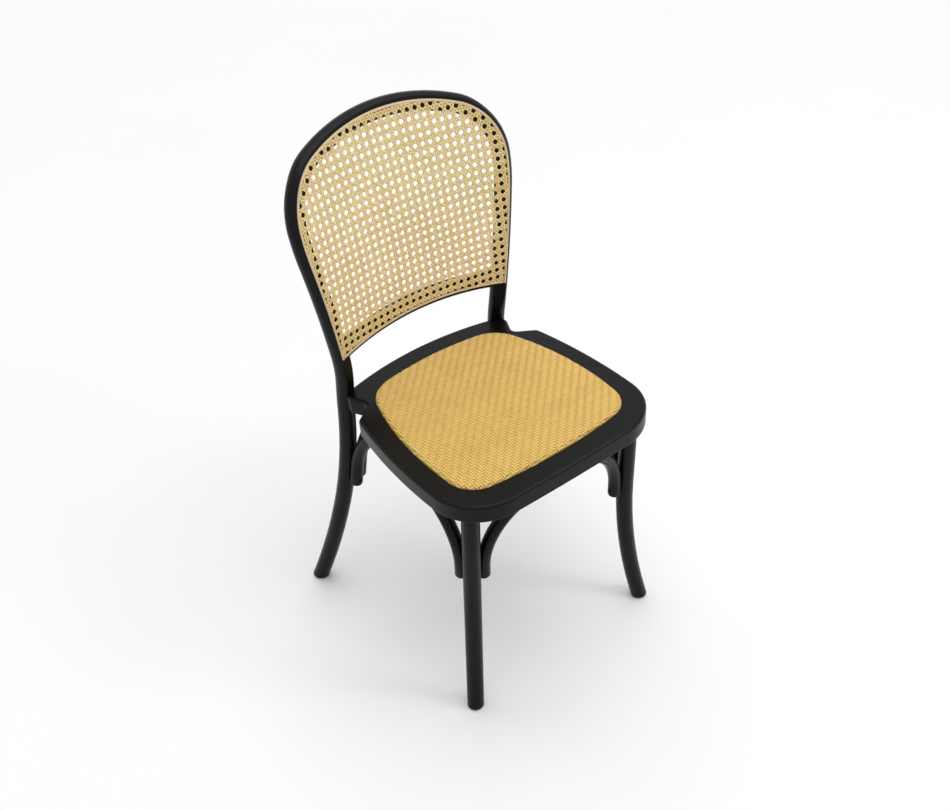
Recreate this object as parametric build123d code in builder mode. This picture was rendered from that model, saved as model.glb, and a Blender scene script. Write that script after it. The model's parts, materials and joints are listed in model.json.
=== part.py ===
from build123d import *
import math
import os

os.makedirs("parts", exist_ok=True)

# Millimetres, +Z up, the front of the chair faces -Y, X = 0 is its middle.

# Height of the seat at its middle. The back, the bends and the brackets are placed from it.
seat_height = 445.3

# Back panel: a saddle, bowed round the sitter and curling back at top and foot.
panel_rise = 235.7
panel_y = 154.2
panel_lean = 9.4
bow_radius = 553.0
curl_radius = 1118.0
panel_top = 152.0
panel_half_width = 183.0
widest_at = 38.0
flank_radius = 300.0
flank_angle = 8.9
panel_foot = 168.0
panel_arch = 15.0

# Bent rods: the back hoop, the bottom back rail and the front legs share one stock.
rod_radius = 14.0
flat_depth = 11.5
flat_end_rise = 1.7
spline_inset = 5.1
crown_ease = 2.6
rail_inset = 4.2

# Where each rear leg passes the seat and where it meets the floor.
rear_pass_x = 152.5
rear_pass_y = 142.0
rear_pass_drop = 45.3
rear_pass_out = 0.06
rear_pass_back = 0.03
rear_foot_x = 222.0
rear_foot_y = 217.6
rear_foot_angle = 23.0
foot_sink = 12.0
foot_round = 4.0

# Front legs.
front_leg_x = 156.0
front_leg_y = -182.5
front_bend_x = 159.0
front_bend_y = -178.5
front_foot_x = 188.4
front_foot_y = -202.0
front_bend_drop = 165.3
tenon_radius = 10.0
tenon_length = 19.0

# Seat frame, drawn on a plane that drops a little towards the back.
seat_slope = 1.64
seat_thickness = 30.0
seat_front = -230.8
seat_front_radius = 4000.0
seat_half_width = 195.0
seat_widest = -112.0
seat_side_radius = 900.0
seat_corner = 85.0
seat_rear = 156.5
seat_rear_radius = 514.0
shoulder_y = 63.0
bite_x = 143.0
bite_y = 87.0
lug_x = 157.0
lug_y = 116.0
shoulder_round = 12.0
bite_round = 11.0
lug_round = 4.0
notch_reach = 6.0
edge_round = 5.0
under_round = 2.5
rail_joint = 96.0

# Drop-in pad.
pad_front = -196.0
pad_front_radius = 830.0
pad_half_width = 161.8
pad_widest = -98.0
pad_side_radius = 560.0
pad_front_corner = 48.0
pad_rear = 119.6
pad_rear_radius = 605.0
pad_rear_corner = 58.0
pad_gap = 1.2
pad_crown = 8.0
pad_dome_radius = 2600.0
pad_edge_round = 5.0
rebate_depth = 14.0
ledge_width = 12.0
board_thickness = 8.0
weave_thickness = 2.2

# Cane and its spline.
cane_thickness = 1.2
cane_step = 25.4
cane_gap_width = 17.0
spline_radius = 2.0

# Knee brackets.
bracket_radius = 10.5
front_bracket_drop = 179.8
rear_bracket_drop = 188.3
front_bracket_bend = 124.0
rear_bracket_bend = 112.0
bracket_run = 6.0
bracket_nest = 1.5
bracket_land = 1.5
bracket_end_round = 5.0
front_side_turn = 82.0
front_side_run = 87.0
front_cross_turn = 177.0
front_cross_run = 191.0
rear_side_turn = 258.0
rear_side_run = 263.0
rear_cross_turn = 198.0
rear_cross_run = 185.0

# Fixings.
dowel_radius = 4.0
dowel_length = 36.0
dowel_spacing = 17.0
lug_dowel_length = 34.0
lug_dowel_turn = 222.0
lug_dowel_start = 1.4
back_dowel_length = 32.0
screw_radius = 1.8
screw_head_radius = 3.4
screw_head_height = 2.4
screw_sink = 3.0
leg_screw_length = 24.0
rail_screw_length = 22.0
pad_screw_length = 18.0
screw_offset = 15.0

# Clearances.
fit = 0.1
skin = 0.2
rod_clear = 0.3
spline_clear = 0.4
bore_over = 0.5

# Reach of the planing and sawing cuts beyond the wood.
bow_swing = 36.0
space_over = 60.0
space_depth = 90.0
saw_size = 2000.0

lean = math.radians(panel_lean)
slope = math.radians(seat_slope)
panel_up = Vector(0, math.sin(lean), math.cos(lean))
panel_back = Vector(0, math.cos(lean), -math.sin(lean))
panel_middle = Vector(0, panel_y, seat_height + panel_rise)
seat_normal = Vector(0, math.sin(slope), math.cos(slope))
seat_plane = Plane(origin=(0, 0, seat_height), x_dir=(1, 0, 0), z_dir=seat_normal)
under_plane = seat_plane.offset(-seat_thickness)


def panel_point(across, rise, depth):
    # A point on the saddle; depth is measured backwards from the front of the cane's seat.
    turn = across / bow_radius
    reach = bow_radius + curl_radius - math.sqrt(curl_radius ** 2 - rise ** 2) + depth
    back = reach * math.cos(turn) - bow_radius
    return panel_middle + Vector(reach * math.sin(turn), 0, 0) + panel_up * rise + panel_back * back


def panel_node(node, inset, depth):
    across, rise, heading = node
    cosine = math.cos(math.radians(heading))
    sine = math.sin(math.radians(heading))
    across = across + inset * sine
    rise = rise - inset * cosine
    ahead = panel_point(across + cosine, rise + sine, depth)
    behind = panel_point(across - cosine, rise - sine, depth)
    return panel_point(across, rise, depth), (ahead - behind).normalized()


def flat_node(node, inset):
    # The same point seen square on to the panel, for sketches in its plane.
    across, rise, heading = node
    cosine = math.cos(math.radians(heading))
    sine = math.sin(math.radians(heading))
    across = across + inset * sine
    rise = rise - inset * cosine
    turn = across / bow_radius
    run = Vector(cosine * math.cos(turn), sine, 0).normalized()
    return Vector(bow_radius * math.sin(turn), rise, 0), run


def mirrored(nodes):
    return [(Vector(-p.X, p.Y, p.Z), Vector(d.X, -d.Y, -d.Z)) for p, d in reversed(nodes)]


def bent_run(nodes):
    # Two tangent arcs between each pair of points, so the rod never kinks.
    for (start, run1), (end, run2) in zip(nodes[:-1], nodes[1:]):
        chord = end - start
        along = chord.dot(run1 + run2)
        opening = 2 - 2 * run1.dot(run2)
        if opening < 1e-7:
            reach = chord.dot(chord) / (2 * along)
        else:
            reach = (math.sqrt(along ** 2 + opening * chord.dot(chord)) - along) / opening
        knee1 = start + run1 * reach
        knee2 = end - run2 * reach
        joint = (knee1 + knee2) * 0.5
        for a, b, run in ((start, joint, run1), (joint, end, (knee2 - knee1).normalized())):
            if (b - a).normalized().cross(run).length < 1e-4:
                Line(a, b)
            else:
                TangentArc(a, b, tangent=run)


def under_at(y):
    # Height of the seat's underside.
    return seat_height - y * math.tan(slope) - seat_thickness / math.cos(slope)


def bore(start, run, radius, length, mode=Mode.SUBTRACT):
    with Locations(Plane(origin=start, z_dir=run)):
        Cylinder(radius, length, align=(Align.CENTER, Align.CENTER, Align.MIN), mode=mode)


def nested_center(c1, r1, c2, r2, upward):
    # Where two circles cross, on the side asked for.
    dx = c2[0] - c1[0]
    dy = c2[1] - c1[1]
    gap = math.hypot(dx, dy)
    along = (gap ** 2 + r1 ** 2 - r2 ** 2) / (2 * gap)
    aside = math.sqrt(r1 ** 2 - along ** 2)
    picks = []
    for sign in (1, -1):
        x = c1[0] + (along * dx - sign * aside * dy) / gap
        y = c1[1] + (along * dy + sign * aside * dx) / gap
        picks.append((x, y))
    picks = [p for p in picks if p[0] > 0]
    return max(picks, key=lambda p: p[1] * upward)


def on_circle(center, radius, toward):
    dx = toward[0] - center[0]
    dy = toward[1] - center[1]
    size = math.hypot(dx, dy)
    return (center[0] + dx * radius / size, center[1] + dy * radius / size)


# Outline of the panel along the spline, right half, from the crown down to the corner.
side = math.radians(flank_angle)
fall = panel_top - widest_at
spread = panel_half_width + fall
tangent_reach = (math.sqrt(spread ** 2 + 2 * (panel_half_width ** 2 + fall ** 2)) - spread) / 2
shoulder_fall = panel_top - widest_at - tangent_reach
shoulder_turn = -math.degrees(math.atan2(shoulder_fall, panel_half_width - tangent_reach))
shoulder_radius = tangent_reach / math.tan(math.radians(90 + shoulder_turn) / 2)
middle_turn = (shoulder_turn - 90) / 2
middle_rad = math.radians(middle_turn + 90)
crown_node = (0.0, panel_top, 0.0)
shoulder_node = (
    (tangent_reach + panel_half_width) / 2,
    (panel_top + widest_at + tangent_reach) / 2,
    shoulder_turn,
)
middle_node = (
    panel_half_width - shoulder_radius * (1 - math.cos(middle_rad)),
    widest_at + shoulder_radius * math.sin(middle_rad),
    middle_turn,
)
widest_node = (panel_half_width, widest_at, -90.0)
flank_node = (
    panel_half_width - flank_radius * (1 - math.cos(side)),
    widest_at - flank_radius * math.sin(side),
    -90.0 - flank_angle,
)


def flank_at(rise):
    return (flank_node[0] + (rise - flank_node[1]) * math.tan(side), rise, -90.0 - flank_angle)


corner_node = flank_at(-panel_foot)
arch_nodes = [crown_node, shoulder_node, middle_node, widest_node, flank_node, corner_node]

# The bottom edge arches up a little between the corners.
foot_radius = (corner_node[0] ** 2 + panel_arch ** 2) / (2 * panel_arch)
foot_center = -panel_foot + panel_arch - foot_radius


def foot_at(across, inset):
    radius = foot_radius + inset
    turn = math.asin(across / radius)
    return (across, foot_center + radius * math.cos(turn), -math.degrees(turn))


def rod_inset(node):
    # How far the rod's centre lies inside the spline; it eases outwards over the crown.
    return spline_inset - crown_ease * math.cos(math.radians(node[2])) ** 4


# Centre line of the hoop from one rear foot over the crown to the other.
rear_foot = Vector(rear_foot_x, rear_foot_y, 0)
rear_pass = Vector(rear_pass_x, rear_pass_y, seat_height - rear_pass_drop)
rear_pass_run = Vector(rear_pass_out, rear_pass_back, -1).normalized()
splay = Vector(rear_foot_x - rear_pass_x, rear_foot_y - rear_pass_y, 0).normalized()
foot_tilt = math.radians(rear_foot_angle)
rear_foot_run = splay * math.sin(foot_tilt) - Vector(0, 0, math.cos(foot_tilt))
rear_tip = rear_foot + rear_foot_run * foot_sink
hoop_half = [panel_node(node, rod_inset(node), flat_depth) for node in arch_nodes]
hoop_half = hoop_half + [(rear_pass, rear_pass_run), (rear_foot, rear_foot_run)]
hoop_nodes = mirrored(hoop_half[1:]) + hoop_half

with BuildLine() as hoop_line:
    Line(Vector(-rear_tip.X, rear_tip.Y, rear_tip.Z), Vector(-rear_foot.X, rear_foot.Y, rear_foot.Z))
    bent_run(hoop_nodes)
    Line(rear_foot, rear_tip)

# The bent rod without its flat, and the same a touch fatter for whatever has to clear it.
with BuildPart() as hoop_rod:
    with BuildSketch(Plane(origin=hoop_line.line @ 0, z_dir=hoop_line.line % 0)):
        Circle(rod_radius)
    sweep(path=hoop_line.line)

with BuildPart() as hoop_room:
    with BuildSketch(Plane(origin=hoop_line.line @ 0, z_dir=hoop_line.line % 0)):
        Circle(rod_radius + rod_clear)
    sweep(path=hoop_line.line)


def rear_leg_at(height):
    low = 0.75
    high = 1.0
    for step in range(40):
        middle = (low + high) / 2
        if (hoop_line.line @ middle).Z > height:
            low = middle
        else:
            high = middle
    return hoop_line.line @ low


seat_leg = rear_leg_at(under_at(rear_pass_y) + seat_thickness / 2)


def saddle_sketch_plane(turn):
    # Radial plane of the bow: local x runs away from the bow's axis, local y up the panel.
    radial = panel_back * math.cos(math.radians(turn)) + Vector(math.sin(math.radians(turn)), 0, 0)
    return Plane(origin=panel_middle - panel_back * bow_radius, x_dir=radial, z_dir=radial.cross(panel_up))


bow_axis = Axis(panel_middle - panel_back * bow_radius, panel_up)
space_low = (flat_end_rise - panel_rise) / math.cos(lean)
space_high = panel_top + space_over


def curl_at(rise, depth):
    radius = curl_radius - depth
    return bow_radius + curl_radius - math.sqrt(radius ** 2 - rise ** 2)


# Everything in front of the saddle: what the rods lose when their front is planed flat.
with BuildPart() as front_space:
    with BuildSketch(saddle_sketch_plane(bow_swing)):
        with BuildLine():
            low_point = (curl_at(space_low, 0), space_low)
            high_point = (curl_at(space_high, 0), space_high)
            ThreePointArc(low_point, (curl_at(0, 0), 0), high_point)
            Line(high_point, (bow_radius - space_depth, space_high))
            Line((bow_radius - space_depth, space_high), (bow_radius - space_depth, space_low))
            Line((bow_radius - space_depth, space_low), low_point)
        make_face()
    revolve(axis=bow_axis, revolution_arc=2 * bow_swing)

# Spline lines: over the arch and along the foot.
spline_tail = flank_at(-panel_foot - spline_radius)
spline_half = [panel_node(node, 0, 0) for node in arch_nodes[:-1] + [spline_tail]]
spline_nodes = mirrored(spline_half[1:]) + spline_half
foot_reach = corner_node[0] - spline_radius - 2 * skin
foot_half = [panel_node(foot_at(0, 0), 0, 0), panel_node(foot_at(foot_reach, 0), 0, 0)]
foot_nodes = mirrored(foot_half[1:]) + foot_half

with BuildLine() as arch_line:
    bent_run(spline_nodes)

with BuildLine() as foot_line:
    bent_run(foot_nodes)



def bead_line(groove_line):
    # The bead stops a little short of both ends of its groove.
    end = spline_clear / groove_line.length
    return groove_line.trim(end, 1 - end)


arch_bead = bead_line(arch_line.wire())
foot_bead = bead_line(foot_line.wire())

with BuildPart() as spline_arch:
    with BuildSketch(Plane(origin=arch_bead @ 0, z_dir=arch_bead % 0)):
        Circle(spline_radius)
    sweep(path=arch_bead)

with BuildPart() as spline_bottom:
    with BuildSketch(Plane(origin=foot_bead @ 0, z_dir=foot_bead % 0)):
        Circle(spline_radius)
    sweep(path=foot_bead)

with BuildPart() as grooves:
    for line in (arch_line.line, foot_line.line):
        with BuildSketch(Plane(origin=line @ 0, z_dir=line % 0)):
            Circle(spline_radius + spline_clear)
        sweep(path=line)

# Bottom back rail: the same rod, bowed with the panel and coped to the uprights.
rail_end = corner_node[0] - spline_inset
rail_half = [
    panel_node(foot_at(0, rail_inset), 0, flat_depth),
    panel_node(foot_at(rail_end, rail_inset), 0, flat_depth),
]
rail_nodes = mirrored(rail_half[1:]) + rail_half
rail_tip, rail_tip_run = rail_half[1]
back_dowel_start = rail_tip - rail_tip_run * (back_dowel_length - rod_radius * 0.5)

with BuildLine() as rail_line:
    bent_run(rail_nodes)

with BuildPart() as back_rail:
    with BuildSketch(Plane(origin=rail_line.line @ 0, z_dir=rail_line.line % 0)):
        Circle(rod_radius)
    sweep(path=rail_line.line)
    add(grooves.part, mode=Mode.SUBTRACT)
    add(front_space.part, mode=Mode.SUBTRACT)
    add(hoop_room.part, mode=Mode.SUBTRACT)
    for sign in (1, -1):
        start = Vector(sign * back_dowel_start.X, back_dowel_start.Y, back_dowel_start.Z)
        run = Vector(sign * rail_tip_run.X, rail_tip_run.Y, rail_tip_run.Z)
        bore(start - run * bore_over, run, dowel_radius + fit, back_dowel_length)

with BuildPart() as back_rail_dowels:
    for sign in (1, -1):
        start = Vector(sign * back_dowel_start.X, back_dowel_start.Y, back_dowel_start.Z)
        run = Vector(sign * rail_tip_run.X, rail_tip_run.Y, rail_tip_run.Z)
        bore(start, run, dowel_radius, back_dowel_length, Mode.ADD)

# Knee brackets: each is a bent rod from a leg up under a seat rail.
def turned(degrees):
    return Vector(math.cos(math.radians(degrees)), math.sin(math.radians(degrees)), 0)


def bracket_line_points(leg_low, leg_high, turn, run_turn, reach):
    # Lower end, start of the bend, end of the bend and upper end of one bracket.
    climb = (leg_high - leg_low).normalized()
    away = turned(turn)
    ahead = turned(run_turn)
    level = (ahead - seat_normal * ahead.dot(seat_normal)).normalized()
    side_step = (away - climb * away.dot(climb)).normalized()
    low = leg_low + side_step * (rod_radius + bracket_radius - bracket_nest)
    run_plane = under_plane.offset(bracket_land - bracket_radius)
    knee = low + climb * ((run_plane.origin - low).dot(seat_normal) / climb.dot(seat_normal))
    bend = knee - climb * reach
    out = knee + level * reach
    return [low, bend, out, out + level * bracket_run]


front_low = Vector(front_bend_x, front_bend_y, seat_height - front_bracket_drop)
front_high = Vector(front_leg_x, front_leg_y, under_at(front_leg_y))
rear_low = rear_leg_at(seat_height - rear_bracket_drop)
rear_high = rear_leg_at((rear_low.Z + under_at(rear_pass_y)) / 2)
bracket_ends = {
    "front": (front_low, front_high, front_bracket_bend),
    "rear": (rear_low, rear_high, rear_bracket_bend),
}
bracket_turns = {
    "front_side": (front_side_turn, front_side_run),
    "front_cross": (front_cross_turn, front_cross_run),
    "rear_side": (rear_side_turn, rear_side_run),
    "rear_cross": (rear_cross_turn, rear_cross_run),
}
bracket_points = {}
for name, (turn, run_turn) in bracket_turns.items():
    leg_low, leg_high, reach = bracket_ends[name.split("_")[0]]
    bracket_points[name] = bracket_line_points(leg_low, leg_high, turn, run_turn, reach)


def leg_screw_axis(name):
    # Starts on the bracket's outer side and runs level into the leg.
    low, bend, out, tip = bracket_points[name]
    climb = (bend - low).normalized()
    away = turned(bracket_turns[name][0])
    run = (away - climb * away.dot(climb)).normalized() * -1
    return low + climb * screw_offset - run * bracket_radius, run


def rail_screw_axis(name):
    # Starts on the bracket's underside and runs up into the rail.
    low, bend, out, tip = bracket_points[name]
    return out - seat_normal * bracket_radius, seat_normal


# Front legs: almost straight down from the seat, then kicked out to the foot.
front_bend = Vector(front_bend_x, front_bend_y, seat_height - front_bend_drop)
front_head = Vector(front_leg_x, front_leg_y, under_at(front_leg_y))
front_run = (front_bend - front_head).normalized()
front_top = front_head - front_run * seat_thickness
front_foot = Vector(front_foot_x, front_foot_y, 0)

with BuildLine() as front_line:
    Line(front_top, front_bend)
    kick = TangentArc(front_bend, front_foot, tangent=front_run)
    Line(front_foot, front_foot + (kick % 1) * foot_sink)

with BuildPart() as front_leg_right:
    with BuildSketch(Plane(origin=front_top, z_dir=front_run)):
        Circle(rod_radius)
    sweep(path=front_line.line)
    split(bisect_by=under_plane, keep=Keep.BOTTOM)
    split(bisect_by=Plane.XY, keep=Keep.TOP)
    fillet(front_leg_right.edges().group_by(Axis.Z)[0], radius=foot_round)
    leg_head = Vector(front_leg_x, front_leg_y, under_at(front_leg_y) - rod_radius)
    bore(leg_head, Vector(0, 0, 1), tenon_radius, tenon_length + rod_radius, Mode.ADD)
    for name in ("front_side", "front_cross"):
        start, run = leg_screw_axis(name)
        bore(start + run * screw_sink, run, screw_radius + fit, leg_screw_length + bore_over)

with BuildPart() as front_leg_left:
    mirror(front_leg_right.part, about=Plane.YZ)

with BuildPart() as front_leg_room:
    with BuildSketch(Plane(origin=front_top, z_dir=front_run)):
        Circle(rod_radius + skin)
    sweep(path=front_line.line)


def make_bracket(name, leg_room):
    low, bend, out, tip = bracket_points[name]
    with BuildPart() as bracket:
        with BuildLine() as bracket_line:
            Line(low, bend)
            TangentArc(bend, out, tangent=bend - low)
            Line(out, tip)
        with BuildSketch(Plane(origin=low, z_dir=bend - low)):
            Circle(bracket_radius)
        sweep(path=bracket_line.line)
        fillet(bracket.edges().group_by(Axis.Z)[0], radius=bracket_end_round)
        split(bisect_by=under_plane, keep=Keep.BOTTOM)
        add(leg_room, mode=Mode.SUBTRACT)
        for start, run in (leg_screw_axis(name), rail_screw_axis(name)):
            bore(start - run, run, screw_head_radius + skin, screw_sink + screw_head_height + 1)
            bore(start, run, screw_radius + skin, 2.5 * bracket_radius)
    return bracket.part


brackets = {
    "front_side": make_bracket("front_side", front_leg_room.part),
    "front_cross": make_bracket("front_cross", front_leg_room.part),
    "rear_side": make_bracket("rear_side", hoop_room.part),
    "rear_cross": make_bracket("rear_cross", hoop_room.part),
}

# Screws that hold the brackets, one group per length, mirrored to both sides.
with BuildPart() as bracket_leg_screws:
    for name in bracket_points:
        start, run = leg_screw_axis(name)
        bore(start + run * screw_sink, run, screw_head_radius, screw_head_height, Mode.ADD)
        bore(start + run * screw_sink, run, screw_radius, leg_screw_length, Mode.ADD)
    mirror(about=Plane.YZ)

with BuildPart() as bracket_rail_screws:
    for name in bracket_points:
        start, run = rail_screw_axis(name)
        bore(start + run * screw_sink, run, screw_head_radius, screw_head_height, Mode.ADD)
        bore(start + run * screw_sink, run, screw_radius, rail_screw_length, Mode.ADD)
    mirror(about=Plane.YZ)

# Dowel from each rear leg into the lug of the seat.
lug_turn = math.radians(lug_dowel_turn)
lug_run = Vector(math.cos(lug_turn), math.sin(lug_turn), -math.sin(lug_turn) * math.tan(slope)).normalized()
lug_start = seat_leg + lug_run * lug_dowel_start

with BuildPart() as lug_dowels:
    bore(lug_start, lug_run, dowel_radius, lug_dowel_length, Mode.ADD)
    mirror(about=Plane.YZ)

with BuildPart() as lug_holes:
    lug_hole_start = lug_start - lug_run * bore_over
    bore(lug_hole_start, lug_run, dowel_radius + fit, lug_dowel_length + 2 * bore_over, Mode.ADD)
    mirror(about=Plane.YZ)

# The finished hoop.
with BuildPart() as back_hoop:
    add(hoop_rod.part)
    add(grooves.part, mode=Mode.SUBTRACT)
    add(front_space.part, mode=Mode.SUBTRACT)
    split(bisect_by=Plane.XY, keep=Keep.TOP)
    fillet(back_hoop.edges().group_by(Axis.Z)[0], radius=foot_round)
    for sign in (1, -1):
        start = Vector(sign * back_dowel_start.X, back_dowel_start.Y, back_dowel_start.Z)
        run = Vector(sign * rail_tip_run.X, rail_tip_run.Y, rail_tip_run.Z)
        bore(start, run, dowel_radius + fit, back_dowel_length + bore_over)
        for name in ("rear_side", "rear_cross"):
            screw_start, screw_run = leg_screw_axis(name)
            hole = screw_start + screw_run * screw_sink
            hole = Vector(sign * hole.X, hole.Y, hole.Z)
            run = Vector(sign * screw_run.X, screw_run.Y, screw_run.Z)
            bore(hole, run, screw_radius + fit, leg_screw_length + bore_over)
    add(lug_holes.part, mode=Mode.SUBTRACT)


# Seat outline and pad outline, right half, as circles that nest tangent to each other.
def nest_outline(front, front_r, half_width, widest, side_r, front_corner, rear, rear_r, rear_corner):
    front_c = (0, front + front_r)
    side_c = (half_width - side_r, widest)
    rear_c = (0, rear - rear_r)
    fc = nested_center(front_c, front_r - front_corner, side_c, side_r - front_corner, -1)
    rc = nested_center(rear_c, rear_r - rear_corner, side_c, side_r - rear_corner, 1)
    a = on_circle(front_c, front_r, fc)
    b = on_circle(side_c, side_r, fc)
    c = on_circle(side_c, side_r, rc)
    d = on_circle(rear_c, rear_r, rc)
    return (0, front), a, b, c, d, (0, rear), fc, side_c, rc


def turning(center, point):
    # Direction of travel round a center, anticlockwise.
    return (center[1] - point[1], point[0] - center[0])


pad_start, pad_a, pad_b, pad_c, pad_d, pad_end, pad_fc, pad_sc, pad_rc = nest_outline(
    pad_front, pad_front_radius, pad_half_width, pad_widest, pad_side_radius,
    pad_front_corner, pad_rear, pad_rear_radius, pad_rear_corner,
)
seat_start, seat_a, seat_b, _, _, seat_end, seat_fc, seat_sc, _ = nest_outline(
    seat_front, seat_front_radius, seat_half_width, seat_widest, seat_side_radius,
    seat_corner, seat_rear, seat_rear_radius, seat_corner,
)

with BuildLine() as pad_line:
    TangentArc(pad_start, pad_a, tangent=(1, 0))
    TangentArc(pad_a, pad_b, tangent=turning(pad_fc, pad_a))
    TangentArc(pad_b, pad_c, tangent=turning(pad_sc, pad_b))
    TangentArc(pad_c, pad_d, tangent=turning(pad_rc, pad_c))
    TangentArc(pad_d, pad_end, tangent=turning(pad_rc, pad_d))
    mirror(about=Plane.YZ)


def make_pad(inset, lower):
    # The pad's outer form, shrunk all round by the inset and lowered on top.
    with BuildPart() as pad:
        with BuildSketch(seat_plane.offset(-rebate_depth + skin)):
            make_face(pad_line.edges())
            if inset > 0:
                offset(amount=-inset, kind=Kind.INTERSECTION)
        extrude(amount=rebate_depth + 2 * pad_crown)
        dome_drop = pad_crown - lower - pad_dome_radius
        with Locations(seat_plane.from_local_coords((0, (pad_front + pad_rear) / 2, dome_drop))):
            Sphere(pad_dome_radius, mode=Mode.INTERSECT)
        fillet(pad.faces().sort_by(Axis.Z)[-1].edges(), radius=pad_edge_round - lower)
    return pad.part


def pad_side_at(y):
    return pad_sc[0] + math.sqrt(pad_side_radius ** 2 - (y - pad_sc[1]) ** 2)


def pad_front_at(x):
    return pad_front + pad_front_radius - math.sqrt(pad_front_radius ** 2 - x ** 2)


def pad_rear_at(x):
    if x < pad_d[0]:
        return pad_rear - pad_rear_radius + math.sqrt(pad_rear_radius ** 2 - x ** 2)
    return pad_rc[1] + math.sqrt(pad_rear_corner ** 2 - (x - pad_rc[0]) ** 2)


def seat_rear_at(x):
    return seat_rear - seat_rear_radius + math.sqrt(seat_rear_radius ** 2 - x ** 2)


shoulder_x = seat_sc[0] + math.sqrt(seat_side_radius ** 2 - (shoulder_y - seat_sc[1]) ** 2)
rear_meet_x = seat_leg.X - notch_reach
rear_meet = (rear_meet_x, seat_rear_at(rear_meet_x))
lug_meet = (seat_leg.X + notch_reach, seat_leg.Y)
front_dowel_y = (seat_front + pad_front_at(rail_joint)) / 2
rear_dowel_y = (seat_rear_at(rail_joint) + pad_rear_at(rail_joint)) / 2
pad_screw_spots = []
for screw_y in (pad_widest, -0.4 * pad_widest):
    pad_screw_spots.append((pad_side_at(screw_y) - ledge_width / 2, screw_y))
joint_dowel_spots = []
for joint_y in (front_dowel_y, rear_dowel_y):
    for step in (-0.5, 0.5):
        joint_dowel_spots.append(joint_y + step * dowel_spacing)


def joint_dowel_start(y):
    return seat_plane.from_local_coords((rail_joint - dowel_length / 2, y, -seat_thickness / 2))


def in_open(edge):
    # True for the edges of the seat outside the notch for the leg.
    return edge.geom_type == GeomType.CIRCLE or edge.length > rod_radius


# The whole seat frame in one, before it is sawn into its four rails.
with BuildPart() as seat_ring:
    with BuildSketch(seat_plane) as ring_sketch:
        with BuildLine():
            TangentArc(seat_start, seat_a, tangent=(1, 0))
            TangentArc(seat_a, seat_b, tangent=turning(seat_fc, seat_a))
            TangentArc(seat_b, (shoulder_x, shoulder_y), tangent=turning(seat_sc, seat_b))
            Line((shoulder_x, shoulder_y), (bite_x, bite_y))
            Line((bite_x, bite_y), (lug_x, lug_y))
            Line((lug_x, lug_y), lug_meet)
            Line(lug_meet, rear_meet)
            TangentArc(seat_end, rear_meet, tangent=(1, 0))
            mirror(about=Plane.YZ)
        make_face()
        for y, radius in ((shoulder_y, shoulder_round), (bite_y, bite_round), (lug_y, lug_round)):
            fillet(ring_sketch.vertices().filter_by_position(Axis.Y, y - fit, y + fit), radius=radius)
    extrude(amount=-seat_thickness)
    flat_faces = seat_ring.faces().filter_by(GeomType.PLANE).sort_by(Axis.Z)
    for face, radius in ((flat_faces[-1], edge_round), (flat_faces[0], under_round)):
        fillet(face.edges().filter_by(in_open), radius=radius)
    with BuildSketch(seat_plane):
        make_face(pad_line.edges())
        offset(amount=pad_gap, kind=Kind.INTERSECTION)
    extrude(amount=-rebate_depth, mode=Mode.SUBTRACT)
    with BuildSketch(seat_plane):
        make_face(pad_line.edges())
        offset(amount=-ledge_width, kind=Kind.INTERSECTION)
    extrude(amount=-2 * seat_thickness, mode=Mode.SUBTRACT)
    add(hoop_room.part, mode=Mode.SUBTRACT)
    add(lug_holes.part, mode=Mode.SUBTRACT)
    for sign in (1, -1):
        mortise = Vector(sign * front_leg_x, front_leg_y, under_at(front_leg_y) - rod_radius)
        bore(mortise, Vector(0, 0, 1), tenon_radius + fit, tenon_length + rod_radius + bore_over)
        for y in joint_dowel_spots:
            start = joint_dowel_start(y)
            start = Vector(sign * (start.X - bore_over), start.Y, start.Z)
            bore(start, Vector(sign, 0, 0), dowel_radius + fit, dowel_length + 2 * bore_over)
        for name in bracket_points:
            start, run = rail_screw_axis(name)
            start = start + run * screw_sink
            start = Vector(sign * start.X, start.Y, start.Z)
            bore(start, run, screw_radius + fit, rail_screw_length + bore_over)
        for x, y in pad_screw_spots:
            start = under_plane.from_local_coords((sign * x, y, 0))
            bore(start, seat_normal, screw_head_radius + skin, screw_sink + screw_head_height)
            bore(start, seat_normal, screw_radius + skin, seat_thickness)

with BuildPart() as seat_side_right:
    add(seat_ring.part)
    with Locations((rail_joint + saw_size / 2, 0, seat_height)):
        Box(saw_size, saw_size, saw_size, mode=Mode.INTERSECT)

with BuildPart() as seat_side_left:
    mirror(seat_side_right.part, about=Plane.YZ)

with BuildPart() as seat_front_rail:
    add(seat_ring.part)
    with Locations((0, -saw_size / 2, seat_height)):
        Box(2 * rail_joint, saw_size, saw_size, mode=Mode.INTERSECT)

with BuildPart() as seat_back_rail:
    add(seat_ring.part)
    with Locations((0, saw_size / 2, seat_height)):
        Box(2 * rail_joint, saw_size, saw_size, mode=Mode.INTERSECT)

with BuildPart() as rail_dowels:
    for y in joint_dowel_spots:
        bore(joint_dowel_start(y), Vector(1, 0, 0), dowel_radius, dowel_length, Mode.ADD)
    mirror(about=Plane.YZ)

# Drop-in pad: plywood board, foam crown and the woven cover drawn over both.
pad_inner = make_pad(weave_thickness, weave_thickness)
board_top = -rebate_depth + board_thickness

with BuildPart() as seat_weave:
    add(make_pad(0, 0))
    add(pad_inner, mode=Mode.SUBTRACT)

with BuildPart() as seat_board:
    with BuildSketch(seat_plane.offset(-rebate_depth)):
        make_face(pad_line.edges())
        offset(amount=-weave_thickness - skin, kind=Kind.INTERSECTION)
    extrude(amount=board_thickness)
    for sign in (1, -1):
        for x, y in pad_screw_spots:
            start = under_plane.from_local_coords((sign * x, y, 0))
            bore(start, seat_normal, screw_radius + fit, screw_sink + pad_screw_length + bore_over)

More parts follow.
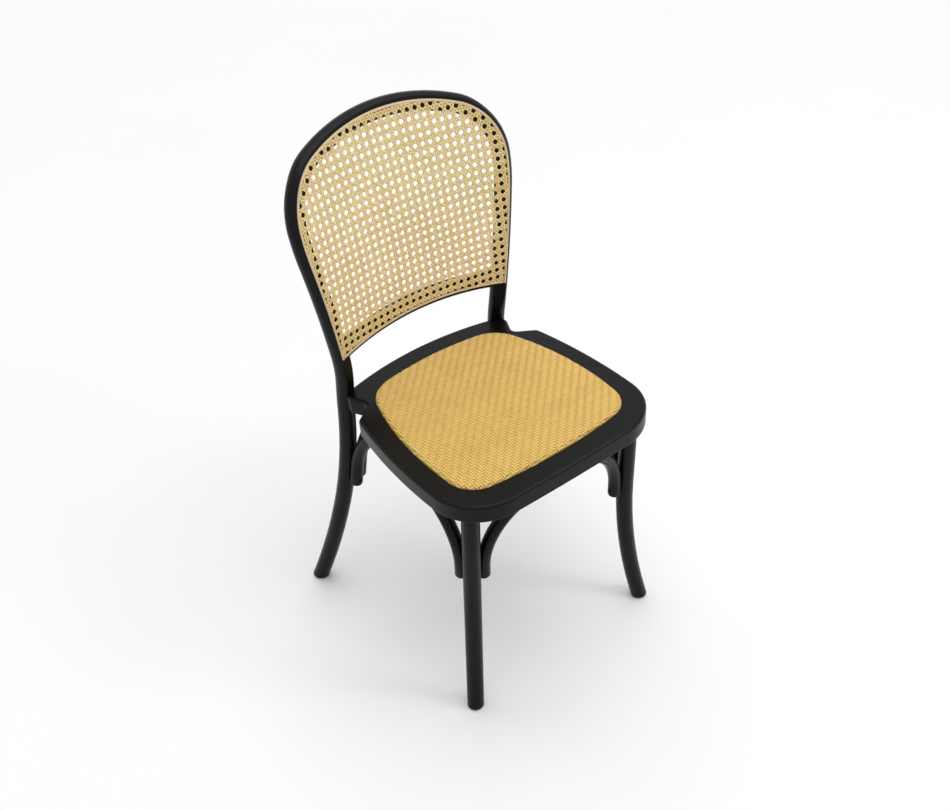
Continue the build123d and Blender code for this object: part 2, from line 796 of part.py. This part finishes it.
with BuildPart() as seat_foam:
    add(make_pad(weave_thickness + skin, weave_thickness + skin))
    split(bisect_by=seat_plane.offset(board_top), keep=Keep.TOP)

with BuildPart() as pad_screws:
    for x, y in pad_screw_spots:
        start = under_plane.from_local_coords((x, y, screw_sink))
        bore(start, seat_normal, screw_head_radius, screw_head_height, Mode.ADD)
        bore(start, seat_normal, screw_radius, pad_screw_length, Mode.ADD)
    mirror(about=Plane.YZ)

# Cane: one thin saddle sheet, trimmed along the spline, with open gaps inside the hoop.
cane_edge = spline_radius + 2 * skin
cane_foot_end = foot_at(corner_node[0] - cane_edge, cane_edge)
cane_corner = flat_node(flank_at(cane_foot_end[1]), cane_edge)
cane_side = [flat_node(node, cane_edge) for node in arch_nodes[:-1]] + [cane_corner]
cane_foot = [flat_node(foot_at(0, cane_edge), 0), (cane_corner[0], flat_node(cane_foot_end, 0)[1])]
open_inset = spline_inset + rod_radius + 2 * bore_over
columns = int(panel_half_width / cane_step)
rows = int((panel_top + panel_foot) / cane_step)
panel_front_plane = Plane(origin=panel_middle, x_dir=(1, 0, 0), z_dir=panel_back * -1)


def opening_half_width(rise):
    # Half the clear width of the cane between the uprights at a given rise.
    if rise > shoulder_node[1]:
        crown_radius = tangent_reach / math.tan(math.radians(-shoulder_turn) / 2)
        reach = crown_radius - open_inset
        return math.sqrt(max(reach ** 2 - (rise - panel_top + crown_radius) ** 2, 0))
    if rise > widest_at:
        reach = shoulder_radius - open_inset
        return panel_half_width - shoulder_radius + math.sqrt(max(reach ** 2 - (rise - widest_at) ** 2, 0))
    return flank_at(rise)[0] - open_inset


def is_open(across, rise):
    # True where a whole gap of the cane clears the wood round it.
    half = cane_gap_width / 2
    reach = min(opening_half_width(rise + half), opening_half_width(rise - half))
    floor = foot_at(min(abs(across), rail_end), open_inset)[1]
    return abs(across) + half < reach and rise - half > floor


with BuildPart() as back_cane:
    with BuildSketch(saddle_sketch_plane(bow_swing)):
        with BuildLine():
            rises = (-panel_foot - rod_radius, 0, panel_top + rod_radius)
            inner = [(curl_at(rise, -skin), rise) for rise in rises]
            outer = [(curl_at(rise, -skin - cane_thickness), rise) for rise in rises]
            ThreePointArc(*inner)
            Line(inner[2], outer[2])
            ThreePointArc(*outer)
            Line(outer[0], inner[0])
        make_face()
    revolve(axis=bow_axis, revolution_arc=2 * bow_swing)
    with BuildSketch(panel_front_plane):
        with BuildLine():
            bent_run(mirrored(cane_side[1:]) + cane_side)
            bent_run(mirrored(cane_foot[1:]) + cane_foot)
        make_face()
    extrude(amount=space_depth, both=True, mode=Mode.INTERSECT)
    with BuildSketch(panel_front_plane):
        for column in range(-columns, columns + 1):
            for row in range(-rows, rows + 1):
                across = column * cane_step
                rise = row * cane_step
                if is_open(across, rise):
                    turn = across / bow_radius
                    with Locations((bow_radius * math.sin(turn), rise)):
                        Rectangle(cane_gap_width * math.cos(turn), cane_gap_width)
    extrude(amount=space_depth, both=True, mode=Mode.SUBTRACT)

pieces = {
    "back_hoop": back_hoop.part,
    "back_rail": back_rail.part,
    "back_rail_dowels": back_rail_dowels.part,
    "back_cane": back_cane.part,
    "spline_arch": spline_arch.part,
    "spline_bottom": spline_bottom.part,
    "seat_front_rail": seat_front_rail.part,
    "seat_back_rail": seat_back_rail.part,
    "seat_side_left": seat_side_left.part,
    "seat_side_right": seat_side_right.part,
    "rail_dowels": rail_dowels.part,
    "lug_dowels": lug_dowels.part,
    "seat_board": seat_board.part,
    "seat_foam": seat_foam.part,
    "seat_weave": seat_weave.part,
    "pad_screws": pad_screws.part,
    "front_leg_left": front_leg_left.part,
    "front_leg_right": front_leg_right.part,
    "bracket_leg_screws": bracket_leg_screws.part,
    "bracket_rail_screws": bracket_rail_screws.part,
}
for name, body in brackets.items():
    pieces["bracket_" + name + "_right"] = body
    pieces["bracket_" + name + "_left"] = mirror(body, about=Plane.YZ)
for name, body in pieces.items():
    body.label = name
    export_step(body, "parts/" + name + ".step")
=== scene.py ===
import json
import math
import random

import bpy
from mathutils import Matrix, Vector
from mathutils.bvhtree import BVHTree


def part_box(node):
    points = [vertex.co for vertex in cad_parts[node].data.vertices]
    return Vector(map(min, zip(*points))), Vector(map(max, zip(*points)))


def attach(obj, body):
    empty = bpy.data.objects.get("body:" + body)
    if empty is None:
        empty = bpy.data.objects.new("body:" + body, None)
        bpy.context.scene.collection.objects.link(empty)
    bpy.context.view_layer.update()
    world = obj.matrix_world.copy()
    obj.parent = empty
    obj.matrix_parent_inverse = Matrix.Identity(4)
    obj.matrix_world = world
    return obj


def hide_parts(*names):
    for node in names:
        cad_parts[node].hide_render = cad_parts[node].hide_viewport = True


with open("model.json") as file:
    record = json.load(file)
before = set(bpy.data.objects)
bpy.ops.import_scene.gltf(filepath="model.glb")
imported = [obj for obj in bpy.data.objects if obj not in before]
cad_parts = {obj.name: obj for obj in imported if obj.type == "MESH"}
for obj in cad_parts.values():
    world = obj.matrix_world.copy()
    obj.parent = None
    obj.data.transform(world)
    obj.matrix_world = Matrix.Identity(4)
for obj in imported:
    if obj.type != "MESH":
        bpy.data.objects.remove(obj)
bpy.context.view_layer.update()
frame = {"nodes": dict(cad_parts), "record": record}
random.seed(7)

# Lengths of the chair are millimetres, written into the scene in metres.
# Places and sizes of floor, lamps and camera and the depths of bumps are metres.
MM = 0.001

# The back panel, as in the solid model: a saddle with a round-topped outline along its spline.
panel_z = 681.0
panel_y = 154.2
panel_lean = math.radians(9.4)
bow_radius = 553.0
curl_radius = 1118.0
panel_top = 152.0
panel_half_width = 183.0
widest_at = 38.0
flank_radius = 300.0
flank_angle = math.radians(8.9)
panel_foot = 168.0
panel_arch = 15.0

# Cane: pitch across and up, the lay's small slant, and where a column of holes stands.
cane_across = 12.54
cane_up = 12.7
cane_dip = -0.018
cane_shift = 4.84
cane_pair = 1.62
cane_width = 2.25
cane_diagonal_width = 2.4
cane_thickness = 0.7
cane_lift = 1.15
cane_end = 0.6
cane_wave = cane_thickness * 0.52
diagonal_wave = cane_thickness * 1.04
diagonal_steps = 6
fewest_cane_points = 3

# Seat weave: flat strips in a two-over, two-under twill. A strip's last step to the pad's edge is split.
strip_pitch = 4.32
along_width = 3.5
across_width = 3.85
strip_thickness = 1.0
strip_wave = 0.7
strip_lift = 0.25
strip_tuck = 5.0
strip_flat = 0.22
fewest_strip_places = 6
edge_steps = (0.3, 0.6, 0.8, 0.92, 1.0)
edge_halvings = 14
steepest_normal = 0.05
spare_strips = 2

# Painted shade: a strand's colour is darker along its edges and where it dips under another. It has its own
# tone at edge_neutral, a height in its section.
painted_edge_shade = 1.3
edge_neutral = 0.3
painted_dip_shade = 0.5

# Colours, of reed as light, middle and dark, of the rest as light and dark.
cane_colors = ((0.95, 0.77, 0.39), (0.88, 0.67, 0.30), (0.74, 0.53, 0.20))
seat_colors = ((0.89, 0.60, 0.17), (0.735, 0.468, 0.112), (0.42, 0.235, 0.035))
spline_colors = ((0.90, 0.76, 0.52), (0.84, 0.68, 0.44), (0.74, 0.57, 0.34))
# The pad body's colours are painted shade, seen dark in the gaps between strips.
gap_painted_shade_colors = ((0.52, 0.33, 0.10), (0.42, 0.26, 0.075))
beech_colors = ((0.62, 0.44, 0.26), (0.45, 0.29, 0.15))
plywood_colors = ((0.56, 0.39, 0.21), (0.42, 0.27, 0.13))
lacquer_colors = ((0.0055, 0.0055, 0.0057), (0.0025, 0.0025, 0.0026))
screw_colors = ((0.3, 0.3, 0.305), (0.16, 0.16, 0.165))

# Strips of the seat vary in tone within these limits, and strands of the cane from 0 to 1.
along_tones = (0.5, 0.8)
across_tones = (0.35, 0.65)

# Shares of a strand's own tone with its painted shade, of patches and of fibres in the colour of reed.
tone_share = 0.4
patch_share = 0.15
fibre_share = 0.55

# Studio: the floor, dome and backdrop levels, the overhead lamp and a small panel at the front right.
floor_half = 9.0
floor_dark = 0.975
floor_light = 0.985
dome_level = 0.36
backdrop_level = 1.3
backdrop_direction = (0.2, 0.945, 0.26)
backdrop_rim = 0.3
backdrop_core = 0.95
overhead_level = 0.415
overhead_angle = math.radians(60)
overhead_turn = (math.radians(6), math.radians(8), 0)
right_power = 9.0
right_size = 0.6
right_place = (1.3, -1.7, 1.9)
right_aim = (0, 0, 0.45)

# Camera of the photograph, for a picture 950 wide and 810 high.
image_width = 950.0
image_height = 810.0
focal_pixels = 1139.0
center_pixel = (556.5, 547.1)
camera_place = (-0.8178, -1.1333, 1.5642)
camera_turn = -0.7145
camera_drop = 0.8137
sensor_width = 36.0


def new_material(name):
    material = bpy.data.materials.new(name)
    material.use_nodes = True
    tree = material.node_tree
    return material, tree, tree.nodes["Principled BSDF"]


def add_node(tree, kind, **values):
    node = tree.nodes.new(kind)
    for key, value in values.items():
        if key in node.inputs:
            node.inputs[key].default_value = value
        else:
            setattr(node, key, value)
    return node


def grey(level):
    return (level, level, level)


def ramp(tree, source, stops):
    node = tree.nodes.new("ShaderNodeValToRGB")
    while len(node.color_ramp.elements) < len(stops):
        node.color_ramp.elements.new(0.5)
    for element, (place, color) in zip(node.color_ramp.elements, stops):
        element.position = place
        element.color = (*color, 1.0)
    tree.links.new(source, node.inputs["Fac"])
    return node.outputs["Color"]


def ramp_into(tree, socket, source, stops):
    tree.links.new(ramp(tree, source, stops), socket)


def noise(tree, scale, detail, stretch=(1, 1, 1)):
    # Noise in object space, drawn out along an axis with a small factor.
    place = tree.nodes.new("ShaderNodeTexCoord")
    mapping = tree.nodes.new("ShaderNodeMapping")
    mapping.inputs["Scale"].default_value = stretch
    tree.links.new(place.outputs["Object"], mapping.inputs["Vector"])
    texture = add_node(tree, "ShaderNodeTexNoise", Scale=scale, Detail=detail)
    tree.links.new(mapping.outputs["Vector"], texture.inputs["Vector"])
    return texture.outputs["Fac"]


def bump(tree, shader, height, strength, distance):
    node = add_node(tree, "ShaderNodeBump", Strength=strength, Distance=distance)
    tree.links.new(height, node.inputs["Height"])
    tree.links.new(node.outputs["Normal"], shader.inputs["Normal"])


def lacquer(name, stretch):
    # Satin black lacquer over close-grained wood: a cloudy tone, and faint grain in gloss and surface.
    material, tree, shader = new_material(name)
    light, dark = lacquer_colors
    cloud = noise(tree, scale=6.0, detail=3.0)
    grain = noise(tree, scale=420.0, detail=5.0, stretch=stretch)
    ramp_into(tree, shader.inputs["Base Color"], cloud, [(0.3, dark), (0.75, light)])
    ramp_into(tree, shader.inputs["Roughness"], grain, [(0.3, grey(0.26)), (0.7, grey(0.34))])
    bump(tree, shader, grain, strength=0.1, distance=0.0003)
    shader.inputs["Specular IOR Level"].default_value = 0.14
    return material


def reed(name, colors, roughness):
    # Split cane or rattan: fine fibres, a tone of its own for each strand with painted shade at its edges
    # and dips, and faint patches.
    material, tree, shader = new_material(name)
    light, middle, dark = colors
    # The tone attribute holds each strand's own tone with painted shade along its edges and at its dips.
    tone = tree.nodes.new("ShaderNodeAttribute")
    tone.attribute_name = "tone"
    fibre = noise(tree, scale=900.0, detail=4.0)
    patch = noise(tree, scale=30.0, detail=3.0)
    mix = None
    for source, share in ((tone.outputs["Fac"], tone_share), (patch, patch_share), (fibre, fibre_share)):
        step = add_node(tree, "ShaderNodeMath", operation="MULTIPLY_ADD")
        tree.links.new(source, step.inputs[0])
        step.inputs[1].default_value = share
        step.inputs[2].default_value = 0.0
        if mix:
            tree.links.new(mix, step.inputs[2])
        mix = step.outputs[0]
    ramp_into(tree, shader.inputs["Base Color"], mix, [(0.3, dark), (0.55, middle), (0.8, light)])
    gloss = [(0.3, grey(roughness - 0.08)), (0.7, grey(roughness + 0.1))]
    ramp_into(tree, shader.inputs["Roughness"], fibre, gloss)
    bump(tree, shader, fibre, strength=0.25, distance=0.0003)
    return material


def screw_metal():
    material, tree, shader = new_material("screw_metal")
    light, dark = screw_colors
    scratch = noise(tree, scale=700.0, detail=3.0)
    ramp_into(tree, shader.inputs["Base Color"], scratch, [(0.3, dark), (0.7, light)])
    ramp_into(tree, shader.inputs["Roughness"], scratch, [(0.3, grey(0.3)), (0.7, grey(0.5))])
    shader.inputs["Metallic"].default_value = 1.0
    return material


def plain_wood(name, colors):
    material, tree, shader = new_material(name)
    light, dark = colors
    grain = noise(tree, scale=60.0, detail=6.0, stretch=(1.0, 0.08, 1.0))
    ramp_into(tree, shader.inputs["Base Color"], grain, [(0.3, dark), (0.7, light)])
    ramp_into(tree, shader.inputs["Roughness"], grain, [(0.3, grey(0.6)), (0.7, grey(0.72))])
    bump(tree, shader, grain, strength=0.2, distance=0.0005)
    return material


def paint_node(node, material):
    slots = frame["nodes"][node].data.materials
    slots.clear()
    slots.append(material)


def paint_nodes():
    lacquer_of = {
        "x": lacquer("lacquer_x", (0.05, 1, 1)),
        "y": lacquer("lacquer_y", (1, 0.05, 1)),
        "z": lacquer("lacquer_z", (1, 1, 0.05)),
    }
    grain_along = {
        "back_rail": "x",
        "seat_front_rail": "x",
        "seat_back_rail": "x",
        "seat_side_left": "y",
        "seat_side_right": "y",
    }
    by_slot = {
        "screw": screw_metal(),
        "dowel": plain_wood("beech", beech_colors),
        "plywood": plain_wood("plywood", plywood_colors),
        "spline": reed("spline_reed", spline_colors, roughness=0.42),
    }
    for entry in frame["record"]["subparts"]:
        node = entry["node"]
        material = by_slot.get(entry["material_slot"])
        if entry["material_slot"] == "black_lacquer":
            material = lacquer_of[grain_along.get(node, "z")]
        if material:
            paint_node(node, material)


def link_object(name, data):
    made = bpy.data.objects.new(name, data)
    bpy.context.collection.objects.link(made)
    return made


# Section of a strand in shares of its width and thickness, flat below and crowned above.
strand_section = ((-0.5, -0.5), (0.5, -0.5), (0.5, 0.1), (0.0, 0.5), (-0.5, 0.1))


def strand_points(run, width, thickness):
    points = []
    for k, (point, normal, _) in enumerate(run):
        ahead = run[min(k + 1, len(run) - 1)][0]
        behind = run[max(k - 1, 0)][0]
        along = (ahead - behind).normalized()
        aside = along.cross(normal).normalized()
        up = aside.cross(along)
        for x, y in strand_section:
            points.append((point + aside * (x * width) + up * (y * thickness)) * MM)
    return points


# Each point's tone: the strand's own tone, with painted shade that is darker along the edges and at dips.
def strand_tones_painted_shade(run, tone):
    point_tones_painted_shade = []
    for _, _, height in run:
        for _, y in strand_section:
            point_tones_painted_shade.append(tone + painted_edge_shade * (y - edge_neutral) + painted_dip_shade * height)
    return point_tones_painted_shade


def strand_faces(first, ring_count):
    # Sides between neighbouring rings of points, then the two end caps.
    count = len(strand_section)
    faces = []
    for k in range(ring_count - 1):
        low = first + k * count
        for n in range(count):
            m = (n + 1) % count
            faces.append((low + n, low + m, low + count + m, low + count + n))
    last = first + (ring_count - 1) * count
    faces.append(tuple(first + n for n in reversed(range(count))))
    faces.append(tuple(last + n for n in range(count)))
    return faces


def build_strands(name, runs, width, thickness, tones=(0.0, 1.0)):
    # One piece of many strands. Each run is a list of (point, normal, height).
    points = []
    faces = []
    point_tones_painted_shade = []
    for run in runs:
        tone = random.uniform(*tones)
        faces.extend(strand_faces(len(points), len(run)))
        points.extend(strand_points(run, width, thickness))
        point_tones_painted_shade.extend(strand_tones_painted_shade(run, tone))
    mesh = bpy.data.meshes.new(name)
    mesh.from_pydata(points, [], faces)
    mesh.update()
    # The tone attribute carries each strand's own tone and its painted shade.
    layer = mesh.attributes.new("tone", "FLOAT", "POINT")
    layer.data.foreach_set("value", point_tones_painted_shade)
    mesh.polygons.foreach_set("use_smooth", [True] * len(mesh.polygons))
    return link_object(name, mesh)


def panel_point(across, rise, depth):
    # A place on the saddle: bowed round the sitter, curling back upward and leaning.
    turn = across / bow_radius
    reach = bow_radius + curl_radius - math.sqrt(curl_radius ** 2 - rise ** 2) + depth
    back = reach * math.cos(turn) - bow_radius
    y = panel_y + rise * math.sin(panel_lean) + back * math.cos(panel_lean)
    z = panel_z + rise * math.cos(panel_lean) - back * math.sin(panel_lean)
    return Vector((reach * math.sin(turn), y, z))


# Circles of the outline: crown, shoulder and flank, then a straight run to the corner and the foot's arch.
fall = panel_top - widest_at
spread = panel_half_width + fall
tangent_reach = (math.sqrt(spread ** 2 + 2 * (panel_half_width ** 2 + fall ** 2)) - spread) / 2
shoulder_turn = math.atan2(fall - tangent_reach, panel_half_width - tangent_reach)
crown_radius = tangent_reach / math.tan(shoulder_turn / 2)
shoulder_radius = tangent_reach / math.tan((math.pi / 2 - shoulder_turn) / 2)
shoulder_rise = (panel_top + widest_at + tangent_reach) / 2
flank_rise = widest_at - flank_radius * math.sin(flank_angle)
flank_half = panel_half_width - flank_radius * (1 - math.cos(flank_angle))
corner_half = flank_half - (panel_foot + flank_rise) * math.tan(flank_angle)
foot_radius = (corner_half ** 2 + panel_arch ** 2) / (2 * panel_arch)
foot_center = panel_arch - panel_foot - foot_radius


def half_width(rise, inset):
    # Half the width inside the outline at a height, below zero above the crown.
    if rise > panel_top - inset:
        return -1.0
    if rise > shoulder_rise:
        return math.sqrt(max((crown_radius - inset) ** 2 - (rise - panel_top + crown_radius) ** 2, 0))
    if rise > widest_at:
        reach = (shoulder_radius - inset) ** 2 - (rise - widest_at) ** 2
        return panel_half_width - shoulder_radius + math.sqrt(max(reach, 0))
    if rise > flank_rise:
        reach = (flank_radius - inset) ** 2 - (rise - widest_at) ** 2
        return panel_half_width - flank_radius + math.sqrt(max(reach, 0))
    return flank_half + (rise - flank_rise) * math.tan(flank_angle) - inset


def in_panel(across, rise):
    foot = foot_center + math.sqrt((foot_radius + cane_end) ** 2 - across ** 2)
    return rise > foot and abs(across) < half_width(rise, cane_end)


def cane_place(u, v):
    # From steps of the mesh, with holes on whole numbers, to millimetres on the panel.
    across = cane_shift + u * cane_across
    return across, v * cane_up + across * cane_dip


def cane_runs(places):
    # Keeps the stretches of a strand inside the spline. Places are (u, v, height) in order.
    runs = [[]]
    for u, v, height in places:
        across, rise = cane_place(u, v)
        if in_panel(across, rise):
            point = panel_point(across, rise, -cane_lift - height)
            normal = (point - panel_point(across, rise, 0)).normalized()
            runs[-1].append((point, normal, height))
        elif runs[-1]:
            runs.append([])
    return runs


def pair_height(offset, pair, sign):
    # A strand rises over one of the crossing pair and dips under the other.
    if abs(offset) > 2 * pair:
        return 0.0
    return -sign * cane_wave * math.sin(math.pi * offset / (2 * pair))


def straight_places(fixed, low, high, pair, sign):
    # Steps along a straight strand, dense where it crosses a pair.
    steps = (0.0, 0.5 - 2 * pair, 0.5 - pair, 0.5, 0.5 + pair, 0.5 + 2 * pair)
    places = []
    for k in range(low, high):
        for step in steps:
            places.append((fixed, k + step, pair_height(step - 0.5, pair, sign)))
    return places


# Steps of the mesh that cover the panel, and half the spacing of a pair in those steps.
pair_u = cane_pair / cane_across
pair_v = cane_pair / cane_up
u_count = int(panel_half_width / cane_across) + 2
v_low = -int(panel_foot / cane_up) - 3
v_high = int(panel_top / cane_up) + 3


def cane_uprights():
    runs = []
    for k in range(-u_count, u_count):
        for sign in (1, -1):
            places = straight_places(k + 0.5 - sign * pair_u, v_low, v_high, pair_v, sign)
            runs.extend(cane_runs(places))
    return runs


def cane_levels():
    runs = []
    for k in range(v_low, v_high):
        for sign in (1, -1):
            places = straight_places(k + 0.5 - sign * pair_v, -u_count, u_count, pair_u, -sign)
            runs.extend(cane_runs([(u, v, height) for v, u, height in places]))
    return runs


def cane_diagonals(slope):
    runs = []
    reach = u_count + v_high - v_low
    for k in range(-reach, reach):
        places = []
        for step in range(-diagonal_steps * u_count, diagonal_steps * u_count + 1):
            u = step / diagonal_steps
            height = slope * diagonal_wave * math.cos(2 * math.pi * (u - 0.5))
            places.append((u, slope * u + k + 0.5, height))
        runs.extend(cane_runs(places))
    return runs


def make_cane():
    made = (
        ("cane_uprights", cane_uprights(), cane_width),
        ("cane_levels", cane_levels(), cane_width),
        ("cane_rising", cane_diagonals(1), cane_diagonal_width),
        ("cane_falling", cane_diagonals(-1), cane_diagonal_width),
    )
    material = reed("cane_reed", cane_colors, roughness=0.45)
    for name, runs, width in made:
        kept = [run for run in runs if len(run) >= fewest_cane_points]
        piece = build_strands(name, kept, width, cane_thickness)
        piece.data.materials.append(material)
        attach(piece, "root")
        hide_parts("back_cane")


def pad_surface():
    cover = frame["nodes"]["seat_weave"].data
    return BVHTree.FromPolygons([v.co for v in cover.vertices], [p.vertices for p in cover.polygons])


def drape(pad, x, y):
    # Where a plumb line from one metre up meets the pad, and the pad's normal there.
    point, normal, _, _ = pad.ray_cast(Vector((x * MM, y * MM, 1.0)), Vector((0, 0, -1)))
    return point, normal


def on_pad(pad, x, y):
    # True over the pad's top and rounded edge.
    point, normal = drape(pad, x, y)
    return point is not None and normal.z > steepest_normal


def pad_edge(pad, inside, outside):
    # Halves the step from a place on the pad to one beyond it until the pad's edge is found.
    for _ in range(edge_halvings):
        middle = ((inside[0] + outside[0]) / 2, (inside[1] + outside[1]) / 2)
        if on_pad(pad, *middle):
            inside = middle
        else:
            outside = middle
    return inside


def strip_end(pad, last, beyond):
    # The end of a strip: over the pad's rounded edge and down beside it.
    edge = pad_edge(pad, last, beyond)
    end = []
    for step in edge_steps:
        x = last[0] + (edge[0] - last[0]) * step
        y = last[1] + (edge[1] - last[1]) * step
        point, normal = drape(pad, x, y)
        end.append((point / MM + normal * strip_lift, normal, 0.0))
    point, normal, _ = end[-1]
    # The tucked end takes the height of a dip only for its colour: painted shade, darker down beside the
    # pad.
    end.append((point + Vector((0, 0, -strip_tuck)), normal, -strip_wave))
    return end


def strip_run(pad, places):
    kept = [k for k, (x, y, _) in enumerate(places) if on_pad(pad, x, y)]
    if len(kept) < fewest_strip_places:
        return []
    run = []
    for x, y, height in places[kept[0]:kept[-1] + 1]:
        point, normal = drape(pad, x, y)
        run.append((point / MM + normal * (strip_lift + height), normal, height))
    head = strip_end(pad, places[kept[0]], places[kept[0] - 1])
    tail = strip_end(pad, places[kept[-1]], places[kept[-1] + 1])
    return head[::-1] + run + tail


def along_is_over(i, j):
    # Two over, two under, moved on by one at each strip.
    return (i - j) % 4 < 2


def strip_places(low, high, is_over):
    # Two places per crossing, so each strip lies flat over and under and bends between.
    places = []
    for k in range(low, high):
        height = strip_wave if is_over(k) else -strip_wave
        for step in (-strip_flat, strip_flat):
            places.append(((k + step) * strip_pitch, height))
    return places


def strip_range(low, high):
    first = int(low / MM / strip_pitch) - spare_strips
    last = int(high / MM / strip_pitch) + spare_strips
    return first, last + 1


def make_seat_weave():
    pad = pad_surface()
    low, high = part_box("seat_weave")
    first_x, end_x = strip_range(low.x, high.x)
    first_y, end_y = strip_range(low.y, high.y)
    along = []
    for i in range(first_x, end_x):
        places = strip_places(first_y, end_y, lambda j: along_is_over(i, j))
        along.append(strip_run(pad, [(i * strip_pitch, y, height) for y, height in places]))
    across = []
    for j in range(first_y, end_y):
        places = strip_places(first_x, end_x, lambda i: not along_is_over(i, j))
        across.append(strip_run(pad, [(x, j * strip_pitch, height) for x, height in places]))
    material = reed("seat_reed", seat_colors, roughness=0.5)
    made = (
        ("strips_along", along, along_width, along_tones),
        ("strips_across", across, across_width, across_tones),
    )
    for name, runs, width, tones in made:
        piece = build_strands(name, [run for run in runs if run], width, strip_thickness, tones)
        piece.data.materials.append(material)
        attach(piece, "root")
        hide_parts("seat_weave")


def make_pad_body():
    # The stuffed body under the strips, in the cover's own form, coloured dark brown as painted shade in
    # the gaps between strips.
    mesh = frame["nodes"]["seat_weave"].data.copy()
    mesh.name = "pad_body"
    piece = link_object("pad_body", mesh)
    mesh.materials.clear()
    mesh.materials.append(plain_wood("pad_painted_gap_shade", gap_painted_shade_colors))
    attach(piece, "root")
    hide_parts("seat_weave", "seat_foam")


def make_stage():
    mesh = bpy.data.meshes.new("floor")
    signs = ((-1, -1), (1, -1), (1, 1), (-1, 1))
    mesh.from_pydata([(x * floor_half, y * floor_half, 0) for x, y in signs], [], [(0, 1, 2, 3)])
    floor = link_object("floor", mesh)
    material, tree, shader = new_material("studio_floor")
    cloud = noise(tree, scale=2.0, detail=2.0)
    ramp_into(tree, shader.inputs["Base Color"], cloud, [(0.3, grey(floor_dark)), (0.7, grey(floor_light))])
    shader.inputs["Roughness"].default_value = 0.9
    shader.inputs["Specular IOR Level"].default_value = 0.0
    mesh.materials.append(material)


def backdrop_light(tree):
    # An even dome, brighter towards the backdrop behind the chair.
    direction = tree.nodes.new("ShaderNodeTexCoord")
    toward = add_node(tree, "ShaderNodeVectorMath", operation="DOT_PRODUCT")
    tree.links.new(direction.outputs["Generated"], toward.inputs[0])
    toward.inputs[1].default_value = backdrop_direction
    level = add_node(tree, "ShaderNodeMapRange", interpolation_type="SMOOTHSTEP")
    tree.links.new(toward.outputs["Value"], level.inputs["Value"])
    level.inputs["From Min"].default_value = backdrop_rim
    level.inputs["From Max"].default_value = backdrop_core
    level.inputs["To Min"].default_value = dome_level
    level.inputs["To Max"].default_value = backdrop_level
    return level.outputs["Result"]


def seen_directly(tree):
    # One for camera, glossy and transmission rays, which see a plain white background.
    path = tree.nodes.new("ShaderNodeLightPath")
    shown = path.outputs["Is Camera Ray"]
    for ray in ("Is Glossy Ray", "Is Transmission Ray"):
        either = add_node(tree, "ShaderNodeMath", operation="MAXIMUM")
        tree.links.new(shown, either.inputs[0])
        tree.links.new(path.outputs[ray], either.inputs[1])
        shown = either.outputs[0]
    return shown


def make_world():
    world = bpy.data.worlds.new("studio")
    bpy.context.scene.world = world
    world.use_nodes = True
    tree = world.node_tree
    strength = tree.nodes.new("ShaderNodeMix")
    tree.links.new(seen_directly(tree), strength.inputs["Factor"])
    tree.links.new(backdrop_light(tree), strength.inputs["A"])
    strength.inputs["B"].default_value = 1.0
    background = tree.nodes["Background"]
    background.inputs["Color"].default_value = (1, 1, 1, 1)
    tree.links.new(strength.outputs["Result"], background.inputs["Strength"])


def make_overhead():
    light = bpy.data.lights.new("overhead", "SUN")
    light.energy = overhead_level * math.pi
    light.angle = overhead_angle
    link_object("overhead", light).rotation_euler = overhead_turn


def make_right_panel():
    light = bpy.data.lights.new("right_panel", "AREA")
    light.shape = "SQUARE"
    light.size = right_size
    light.energy = right_power
    lamp = link_object("right_panel", light)
    lamp.location = right_place
    aim = Vector(right_aim) - Vector(right_place)
    lamp.rotation_euler = aim.to_track_quat("-Z", "Y").to_euler()


def make_camera():
    camera = bpy.data.cameras.new("camera")
    camera.sensor_fit = "HORIZONTAL"
    camera.sensor_width = sensor_width
    camera.lens = focal_pixels * sensor_width / image_width
    camera.shift_x = (image_width / 2 - center_pixel[0]) / image_width
    camera.shift_y = (center_pixel[1] - image_height / 2) / image_width
    stand = link_object("camera", camera)
    stand.location = camera_place
    stand.rotation_euler = (math.pi / 2 - camera_drop, 0, camera_turn)
    bpy.context.scene.camera = stand


paint_nodes()
make_cane()
make_seat_weave()
make_pad_body()
make_stage()
make_world()
make_overhead()
make_right_panel()
make_camera()
bpy.context.scene.view_settings.view_transform = "Standard"
